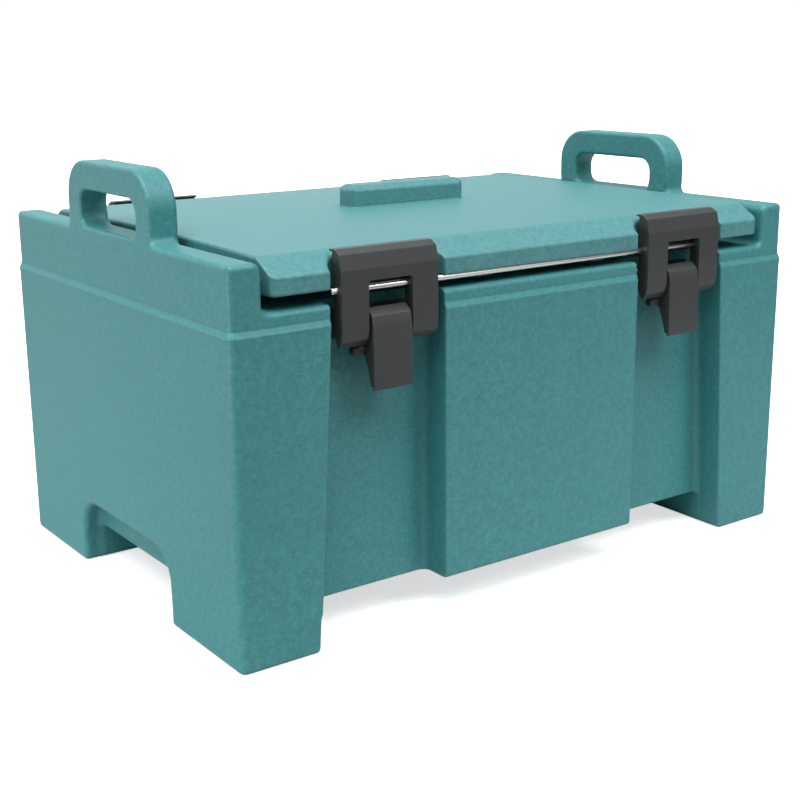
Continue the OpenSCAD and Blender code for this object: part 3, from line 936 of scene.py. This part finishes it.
class CARRIER_OT_latches(bpy.types.Operator):
    """Moulds the four nylon latches: frame, lever and the steel pin that joins them."""
    bl_idname = "carrier.latches"
    bl_label = "Latches"

    def execute(self, context):
        colours = context.scene.carrier_finish
        dark = nylon("Latch nylon", tuple(colours.nylon_colour))
        steel = stainless("Turned stainless", tuple(colours.steel_colour), (1.0, 1.0, 1.0))
        end = [(26.4, 2.5), (27.0, 2.2), (27.6, 1.2), (27.7, 0)]
        pin_profile = [(-along, r) for along, r in end[::-1]] + end
        for corner in CORNERS:
            lever = "lever_" + corner
            finished(latch_frame(corner, colours.nylon_round), dark, "lid", "nylon", "frame_" + corner)
            finished(latch_lever(corner, colours.nylon_round), dark, lever, "nylon", lever)
            pin = turned("latch_pin_" + corner, pin_profile, PIN_MIDDLE, (1, 0, 0), 30)
            finished(smooth_by_angle(at_latch(pin, corner), 50), steel, "lid", "steel", "pin_" + corner)
        return {"FINISHED"}


def keeper(corner):
    """Keeper: plate on the back of the recess, a hook for the lever's bar and three gussets over it."""
    plate = [(-199.5, 271), (-199.5, 298), (-196.2, 298), (-196.2, 271)]
    hook = [(-198, 271.1), (-216, 267.6), (-218.6, 268.2), (-219.9, 269.4), (-219.9, 270.8), (-218.6, 272),
            (-216, 272.8), (-204, 278.6), (-198, 280)]
    parts = [round_edges(prism("plate", plate, -42, 42), 0.0009, 3, 30),
             round_edges(prism("hook", hook, -13.4, 13.4), 0.0007, 2, 15)]
    for x in (-9.0, 0.0, 9.0):
        gusset = prism("gusset", [(-198, 278), (-205, 278), (-198, 291)], x - 1.3, x + 1.3)
        parts.append(round_edges(gusset, 0.0004, 2, 20))
    return at_latch(merged("keeper_plate_" + corner, parts), corner)


def keeper_screw(x, z):
    """Screw with a domed head and a cross slot, in the keeper's face."""
    profile = [(-2, 1.7), (0.9, 1.7), (0.9, 3.5), (1.5, 3.45), (2.2, 2.9), (2.7, 1.8), (2.9, 0)]
    face = -199.0
    screw = turned("screw", profile, (x, face, z), (0, -1, 0), 24)
    back = face - 1.6
    front = face - 4
    for wide, tall in ((3.4, 0.8), (0.8, 3.4)):
        low, high = z - tall / 2, z + tall / 2
        slot = ((back, low), (front, low), (front, high), (back, high))
        cut_with(screw, prism("slot", slot, x - wide / 2, x + wide / 2))
    return smooth_by_angle(screw, 40)


class CARRIER_OT_keepers(bpy.types.Operator):
    """Makes the four keepers let into the latch recesses and their screws."""
    bl_idname = "carrier.keepers"
    bl_label = "Keepers and Screws"

    def execute(self, context):
        colours = context.scene.carrier_finish
        dark = nylon("Keeper nylon", tuple(colours.nylon_colour))
        steel = stainless("Turned stainless", tuple(colours.steel_colour), (1.0, 1.0, 1.0))
        screws = []
        for corner in CORNERS:
            finished(keeper(corner), dark, "body", "nylon", "keeper_" + corner)
            for x in (-32, 32):
                for z in (277.5, 291.5):
                    screws.append(at_latch(keeper_screw(x, z), corner))
        finished(merged("keeper_screw_set", screws), steel, "body", "steel", "keeper_screws")
        return {"FINISHED"}


class CARRIER_OT_plugs(bpy.types.Operator):
    """Makes the dished plugs that close the foam filling holes."""
    bl_idname = "carrier.plugs"
    bl_label = "Filling Plugs"

    def execute(self, context):
        dark = nylon("Plug plastic", (0.03, 0.05, 0.052))
        dish = [(1.6, 0), (1.6, 3.4), (0.2, 3.8), (0.2, 5.2), (2.0, 5.8), (2.0, 9.0), (0.3, 9.8), (0, 10.4),
                (0, 11.4), (0.5, 11.9)]
        for body in ("body", "lid"):
            low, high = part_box(body + "_plugs")
            bottom, top = low.z / MM, high.z / MM
            profile = [(-bottom - deep, r) for deep, r in dish]
            profile += [(-top + 0.4, 11.9), (-top, 11.4), (-top, 0)]
            parts = [smooth_by_angle(turned("plug", profile, (x, 0, 0), (0, 0, -1), 48), 30)
                     for x in (-200.0, 200.0)]
            finished(merged(body + "_plug_set", parts), dark, body, "black_plastic", body + "_plugs")
        return {"FINISHED"}


class CARRIER_OT_foam(bpy.types.Operator):
    """Gives the poured foam inside the body and the lid its finish."""
    bl_idname = "carrier.foam"
    bl_label = "Foam"

    def execute(self, context):
        finish = foam_finish()
        for name in ("body_foam", "lid_foam"):
            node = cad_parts[name]
            if not node.data.materials:
                node.data.materials.append(finish)
            for slot in node.material_slots:
                slot.material = finish
        return {"FINISHED"}


class CARRIER_OT_studio(bpy.types.Operator):
    """Sets up the floor, the soft lights and the camera."""
    bl_idname = "carrier.studio"
    bl_label = "Studio"

    def execute(self, context):
        scene = context.scene
        studio = scene.carrier_studio
        bm = bmesh.new()
        bmesh.ops.create_grid(bm, x_segments=24, y_segments=24, size=12.0)
        floor = as_object("studio_floor", bm)
        floor.data.materials.append(floor_finish(tuple(studio.floor_colour)))
        world = bpy.data.worlds.new("Studio surround")
        world.use_nodes = True
        scene.world = world
        w = Wiring(world.node_tree)
        base = next(n for n in world.node_tree.nodes if n.type == "BACKGROUND")
        base.inputs["Color"].default_value = (1, 1, 1, 1)
        path = w.node("ShaderNodeLightPath")
        direction = w.node("ShaderNodeSeparateXYZ")
        w.link(w.node("ShaderNodeTexCoord").outputs["Generated"], direction.inputs[0])
        shade = w.span(direction.outputs["X"], 0.55, 0.85, 1.0, 0.2)
        lit = w.math("MULTIPLY", shade, w.math("MAXIMUM", path.outputs["Is Glossy Ray"], studio.fill_level))
        w.link(w.math("MAXIMUM", path.outputs["Is Camera Ray"], lit), base.inputs["Strength"])
        lamps = (
            ("key", (-0.26, -0.18, 1.0), 56.0, studio.key_level),
            ("side", (-1.0, 0.12, 0.35), 36.0, studio.key_level * 0.08),
            ("front", (0.36, -0.80, 0.90), 26.0, studio.key_level * 0.34),
        )
        for name, towards, spread, level in lamps:
            lamp = studio_lamp(name, "SUN", towards, level)
            lamp.data.angle = math.radians(spread)
        low = studio_lamp("low", "AREA", (-1.0, -0.12, -0.02), studio.key_level * 0.62)
        low.data.shape = "RECTANGLE"
        low.data.size = 0.7
        low.data.size_y = 0.3
        low.location = (-1.06, -0.12, 0.16)
        low.visible_camera = False
        scene.camera = studio_camera()
        scene.view_settings.view_transform = "Standard"
        return {"FINISHED"}


def studio_lamp(name, kind, towards, level):
    """A lamp that shines from the given direction."""
    light = bpy.data.lights.new(name, kind)
    light.energy = level
    lamp = bpy.data.objects.new(name, light)
    lamp.rotation_mode = "QUATERNION"
    lamp.rotation_quaternion = Vector(towards).to_track_quat("Z", "Y")
    bpy.context.scene.collection.objects.link(lamp)
    return lamp


def studio_camera():
    """Camera in front of the left corner, a little above the lid."""
    turn, rise, roll = (math.radians(v) for v in (-35.9989, 14.193, -0.3989))
    back = Vector((math.sin(turn) * math.cos(rise), -math.cos(turn) * math.cos(rise), math.sin(rise)))
    right = (-back).cross(Vector((0, 0, 1))).normalized()
    up = right.cross(-back)
    side = right * math.cos(roll) + up * math.sin(roll)
    top = up * math.cos(roll) - right * math.sin(roll)
    place = back * 1.504478 + side * 0.0062238 + top * 0.1557127
    data = bpy.data.cameras.new("studio_camera")
    data.sensor_width = 36.0
    data.lens = 60.369
    data.shift_x = -0.0127
    data.shift_y = -0.0245
    data.clip_start = 0.05
    data.clip_end = 60.0
    camera = bpy.data.objects.new("studio_camera", data)
    camera.matrix_world = Matrix((
        (side.x, top.x, back.x, place.x),
        (side.y, top.y, back.y, place.y),
        (side.z, top.z, back.z, place.z),
        (0, 0, 0, 1)))
    bpy.context.scene.collection.objects.link(camera)
    return camera


class CARRIER_PT_panel(bpy.types.Panel):
    """Lists the carrier's sizes and the steps that make it."""
    bl_label = "Food Carrier"
    bl_idname = "CARRIER_PT_panel"
    bl_space_type = "VIEW_3D"
    bl_region_type = "UI"
    bl_category = "Carrier"

    def draw(self, context):
        layout = self.layout
        for settings in ("carrier_body", "carrier_lid", "carrier_finish", "carrier_studio"):
            group = getattr(context.scene, settings)
            box = layout.box()
            for key in group.__annotations__:
                box.prop(group, key)
        for operator in OPERATORS:
            layout.operator(operator.bl_idname)


GROUPS = (
    ("carrier_body", BodySizes),
    ("carrier_lid", LidSizes),
    ("carrier_finish", FinishSettings),
    ("carrier_studio", StudioSettings),
)
OPERATORS = (CARRIER_OT_studio, CARRIER_OT_body, CARRIER_OT_lid, CARRIER_OT_seal, CARRIER_OT_rods,
             CARRIER_OT_latches, CARRIER_OT_keepers, CARRIER_OT_plugs, CARRIER_OT_foam)


def register():
    for name, group in GROUPS:
        bpy.utils.register_class(group)
        setattr(bpy.types.Scene, name, bpy.props.PointerProperty(type=group))
    for operator in OPERATORS:
        bpy.utils.register_class(operator)
    bpy.utils.register_class(CARRIER_PT_panel)


def unregister():
    bpy.utils.unregister_class(CARRIER_PT_panel)
    for operator in reversed(OPERATORS):
        bpy.utils.unregister_class(operator)
    for name, group in reversed(GROUPS):
        delattr(bpy.types.Scene, name)
        bpy.utils.unregister_class(group)


def main():
    register()
    for operator in OPERATORS:
        group, call = operator.bl_idname.split(".")
        getattr(getattr(bpy.ops, group), call)()


if __name__ == "__main__":
    main()
